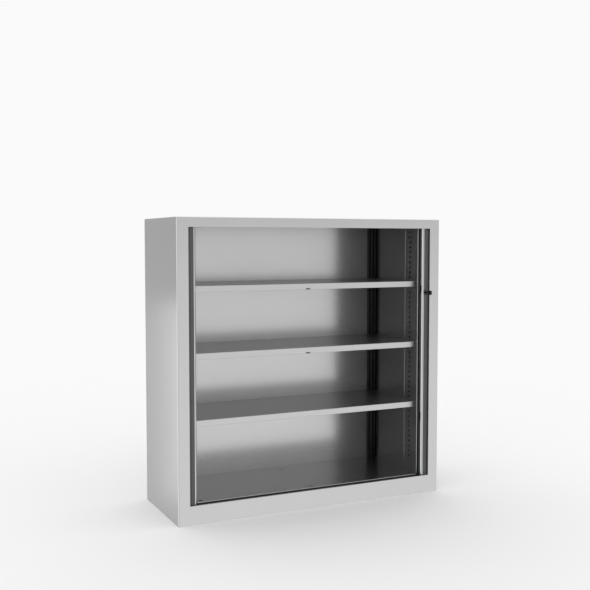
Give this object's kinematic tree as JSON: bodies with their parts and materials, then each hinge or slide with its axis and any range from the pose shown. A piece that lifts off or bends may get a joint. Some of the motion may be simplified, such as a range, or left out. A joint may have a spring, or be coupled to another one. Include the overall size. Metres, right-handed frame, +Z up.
{
  "type": "tambour door cabinet",
  "caption": "Steel tambour cupboard with slatted doors that slide sideways into its walls, a keyed hook lock, perforated linings, shelves and levelling feet.",
  "frame": {"origin": "middle of the base, on the floor", "axes": "+X to the right as seen from the front, +Y to the back, +Z up"},
  "size_m": [1.2, 0.4636, 1.2],
  "materials": {
    "body_paint": "silver grey powder coat",
    "inner_paint": "silver grey powder coat",
    "shelf_paint": "silver grey powder coat",
    "zinc_steel": "zinc plated",
    "track_plastic": "extruded",
    "slat_plastic": "extruded, silver grey",
    "nose_aluminium": "satin anodised",
    "grip_plastic": "extruded, dark grey",
    "lock_metal": "black chrome",
    "key_plastic": "moulded, black",
    "foot_plastic": "moulded, black"
  },
  "bodies": {
    "carcass": {"back_panel": "body_paint", "back_rivets": "zinc_steel", "base_plate": "body_paint", "ceiling_pan": "inner_paint", "floor_pan": "inner_paint", "foot_brackets": "zinc_steel", "inner_back_panel": "inner_paint", "left_bottom_track": "track_plastic", "left_lining": "inner_paint", "left_lining_post": "inner_paint", "left_side_panel": "body_paint", "left_top_track": "track_plastic", "lower_shelf": "shelf_paint", "middle_shelf": "shelf_paint", "plinth_rail": "body_paint", "right_bottom_track": "track_plastic", "right_lining": "inner_paint", "right_lining_post": "inner_paint", "right_side_panel": "body_paint", "right_top_track": "track_plastic", "shelf_clips": "zinc_steel", "shelf_plugs": "foot_plastic", "top_panel": "body_paint", "upper_shelf": "shelf_paint"},
    "right_door": {"right_lead_stile": "nose_aluminium", "right_grip_strip": "grip_plastic", "right_stile_glides": "track_plastic", "lock_barrel": "lock_metal", "barrel_nut": "zinc_steel"},
    "left_door": {"left_lead_stile": "nose_aluminium", "left_grip_strip": "grip_plastic", "left_stile_glides": "track_plastic", "strike_plate": "zinc_steel"},
    "lock_core": {"lock_plug": "lock_metal", "key_blade": "zinc_steel", "key_bow": "key_plastic", "hook_bolt": "zinc_steel", "hook_screw": "zinc_steel"},
    "left_front_foot": {"left_front_foot": "foot_plastic"},
    "right_front_foot": {"right_front_foot": "foot_plastic"},
    "left_rear_foot": {"left_rear_foot": "foot_plastic"},
    "right_rear_foot": {"right_rear_foot": "foot_plastic"},
    "left_corner_slat_1": {"left_corner_slat_1": "slat_plastic"},
    "left_corner_slat_2": {"left_corner_slat_2": "slat_plastic"},
    "left_corner_slat_3": {"left_corner_slat_3": "slat_plastic"},
    "left_side_slats": {"left_side_slats": "slat_plastic"},
    "left_rear_slat_1": {"left_rear_slat_1": "slat_plastic"},
    "left_rear_slat_2": {"left_rear_slat_2": "slat_plastic"},
    "left_rear_slat_3": {"left_rear_slat_3": "slat_plastic"},
    "left_back_slats": {"left_back_slats": "slat_plastic"},
    "right_corner_slat_1": {"right_corner_slat_1": "slat_plastic"},
    "right_corner_slat_2": {"right_corner_slat_2": "slat_plastic"},
    "right_corner_slat_3": {"right_corner_slat_3": "slat_plastic"},
    "right_side_slats": {"right_side_slats": "slat_plastic"},
    "right_rear_slat_1": {"right_rear_slat_1": "slat_plastic"},
    "right_rear_slat_2": {"right_rear_slat_2": "slat_plastic"},
    "right_rear_slat_3": {"right_rear_slat_3": "slat_plastic"},
    "right_back_slats": {"right_back_slats": "slat_plastic"}
  },
  "joints": [
    {"name": "right_door_slide", "type": "slide", "parent": "carcass", "child": "right_door", "axis": [-1, 0, 0], "range_m": [0, 0.5185], "deforming": ["right_corner_slat_1", "right_corner_slat_2", "right_corner_slat_3", "right_side_slats", "right_rear_slat_1", "right_rear_slat_2", "right_rear_slat_3", "right_back_slats"]},
    {"name": "left_door_slide", "type": "slide", "parent": "carcass", "child": "left_door", "axis": [1, 0, 0], "range_m": [0, 0.5185], "deforming": ["left_corner_slat_1", "left_corner_slat_2", "left_corner_slat_3", "left_side_slats", "left_rear_slat_1", "left_rear_slat_2", "left_rear_slat_3", "left_back_slats"]},
    {"name": "key_turn", "type": "hinge", "parent": "right_door", "child": "lock_core", "pos_m": [0.54, -0.215, 0.883], "axis": [0, -1, 0], "range_deg": [0, 90]},
    {"name": "left_front_foot_screw", "type": "slide", "parent": "carcass", "child": "left_front_foot", "axis": [0, 0, -1], "range_m": [0, 0.015]},
    {"name": "right_front_foot_screw", "type": "slide", "parent": "carcass", "child": "right_front_foot", "axis": [0, 0, -1], "range_m": [0, 0.015]},
    {"name": "left_rear_foot_screw", "type": "slide", "parent": "carcass", "child": "left_rear_foot", "axis": [0, 0, -1], "range_m": [0, 0.015]},
    {"name": "right_rear_foot_screw", "type": "slide", "parent": "carcass", "child": "right_rear_foot", "axis": [0, 0, -1], "range_m": [0, 0.015]},
    {"name": "right_corner_slat_1_turn", "type": "hinge", "parent": "carcass", "child": "right_corner_slat_1", "pos_m": [0.30425, 1.25916, 0.619], "axis": [0, 0, -1], "range_deg": [0, 20.27]},
    {"name": "right_corner_slat_2_turn", "type": "hinge", "parent": "carcass", "child": "right_corner_slat_2", "pos_m": [0.31325, 0.35624, 0.619], "axis": [0, 0, -1], "range_deg": [0, 50.61]},
    {"name": "right_corner_slat_3_turn", "type": "hinge", "parent": "carcass", "child": "right_corner_slat_3", "pos_m": [0.32225, 0.11499, 0.619], "axis": [0, 0, -1], "range_deg": [0, 80.94]},
    {"name": "right_side_slats_turn", "type": "hinge", "parent": "carcass", "child": "right_side_slats", "pos_m": [0.32495, 0.07155, 0.619], "axis": [0, 0, -1], "range_deg": [0, 90.05]},
    {"name": "right_rear_slat_1_turn", "type": "hinge", "parent": "carcass", "child": "right_rear_slat_1", "pos_m": [0.3459, 0.0622, 0.619], "axis": [0, 0, -1], "range_deg": [0, 96.95]},
    {"name": "right_rear_slat_2_turn", "type": "hinge", "parent": "carcass", "child": "right_rear_slat_2", "pos_m": [0.41978, 0.03266, 0.619], "axis": [0, 0, -1], "range_deg": [0, 127.28]},
    {"name": "right_rear_slat_3_turn", "type": "hinge", "parent": "carcass", "child": "right_rear_slat_3", "pos_m": [0.47828, 0.01442, 0.619], "axis": [0, 0, -1], "range_deg": [0, 157.61]},
    {"name": "right_back_slats_turn", "type": "hinge", "parent": "carcass", "child": "right_back_slats", "pos_m": [0.51791, 0.00525, 0.619], "axis": [0, 0, -1], "range_deg": [0, 180.05]},
    {"name": "left_corner_slat_1_turn", "type": "hinge", "parent": "carcass", "child": "left_corner_slat_1", "pos_m": [-0.30425, 1.25916, 0.619], "axis": [0, 0, 1], "range_deg": [0, 20.27]},
    {"name": "left_corner_slat_2_turn", "type": "hinge", "parent": "carcass", "child": "left_corner_slat_2", "pos_m": [-0.31325, 0.35624, 0.619], "axis": [0, 0, 1], "range_deg": [0, 50.61]},
    {"name": "left_corner_slat_3_turn", "type": "hinge", "parent": "carcass", "child": "left_corner_slat_3", "pos_m": [-0.32225, 0.11499, 0.619], "axis": [0, 0, 1], "range_deg": [0, 80.94]},
    {"name": "left_side_slats_turn", "type": "hinge", "parent": "carcass", "child": "left_side_slats", "pos_m": [-0.32495, 0.07155, 0.619], "axis": [0, 0, 1], "range_deg": [0, 90.05]},
    {"name": "left_rear_slat_1_turn", "type": "hinge", "parent": "carcass", "child": "left_rear_slat_1", "pos_m": [-0.3459, 0.0622, 0.619], "axis": [0, 0, 1], "range_deg": [0, 96.95]},
    {"name": "left_rear_slat_2_turn", "type": "hinge", "parent": "carcass", "child": "left_rear_slat_2", "pos_m": [-0.41978, 0.03266, 0.619], "axis": [0, 0, 1], "range_deg": [0, 127.28]},
    {"name": "left_rear_slat_3_turn", "type": "hinge", "parent": "carcass", "child": "left_rear_slat_3", "pos_m": [-0.47828, 0.01442, 0.619], "axis": [0, 0, 1], "range_deg": [0, 157.61]},
    {"name": "left_back_slats_turn", "type": "hinge", "parent": "carcass", "child": "left_back_slats", "pos_m": [-0.51791, 0.00525, 0.619], "axis": [0, 0, 1], "range_deg": [0, 180.05]}
  ],
  "couplings": [
    {"joint": "right_corner_slat_1_turn", "follows": "right_door_slide", "rad_per_m": 0.6807},
    {"joint": "right_corner_slat_2_turn", "follows": "right_door_slide", "rad_per_m": 1.7017},
    {"joint": "right_corner_slat_3_turn", "follows": "right_door_slide", "rad_per_m": 2.7228},
    {"joint": "right_side_slats_turn", "follows": "right_door_slide", "rad_per_m": 3.0295},
    {"joint": "right_rear_slat_1_turn", "follows": "right_door_slide", "rad_per_m": 3.2617},
    {"joint": "right_rear_slat_2_turn", "follows": "right_door_slide", "rad_per_m": 4.2827},
    {"joint": "right_rear_slat_3_turn", "follows": "right_door_slide", "rad_per_m": 5.3038},
    {"joint": "right_back_slats_turn", "follows": "right_door_slide", "rad_per_m": 6.059},
    {"joint": "left_corner_slat_1_turn", "follows": "left_door_slide", "rad_per_m": 0.6807},
    {"joint": "left_corner_slat_2_turn", "follows": "left_door_slide", "rad_per_m": 1.7017},
    {"joint": "left_corner_slat_3_turn", "follows": "left_door_slide", "rad_per_m": 2.7228},
    {"joint": "left_side_slats_turn", "follows": "left_door_slide", "rad_per_m": 3.0295},
    {"joint": "left_rear_slat_1_turn", "follows": "left_door_slide", "rad_per_m": 3.2617},
    {"joint": "left_rear_slat_2_turn", "follows": "left_door_slide", "rad_per_m": 4.2827},
    {"joint": "left_rear_slat_3_turn", "follows": "left_door_slide", "rad_per_m": 5.3038},
    {"joint": "left_back_slats_turn", "follows": "left_door_slide", "rad_per_m": 6.059}
  ]
}
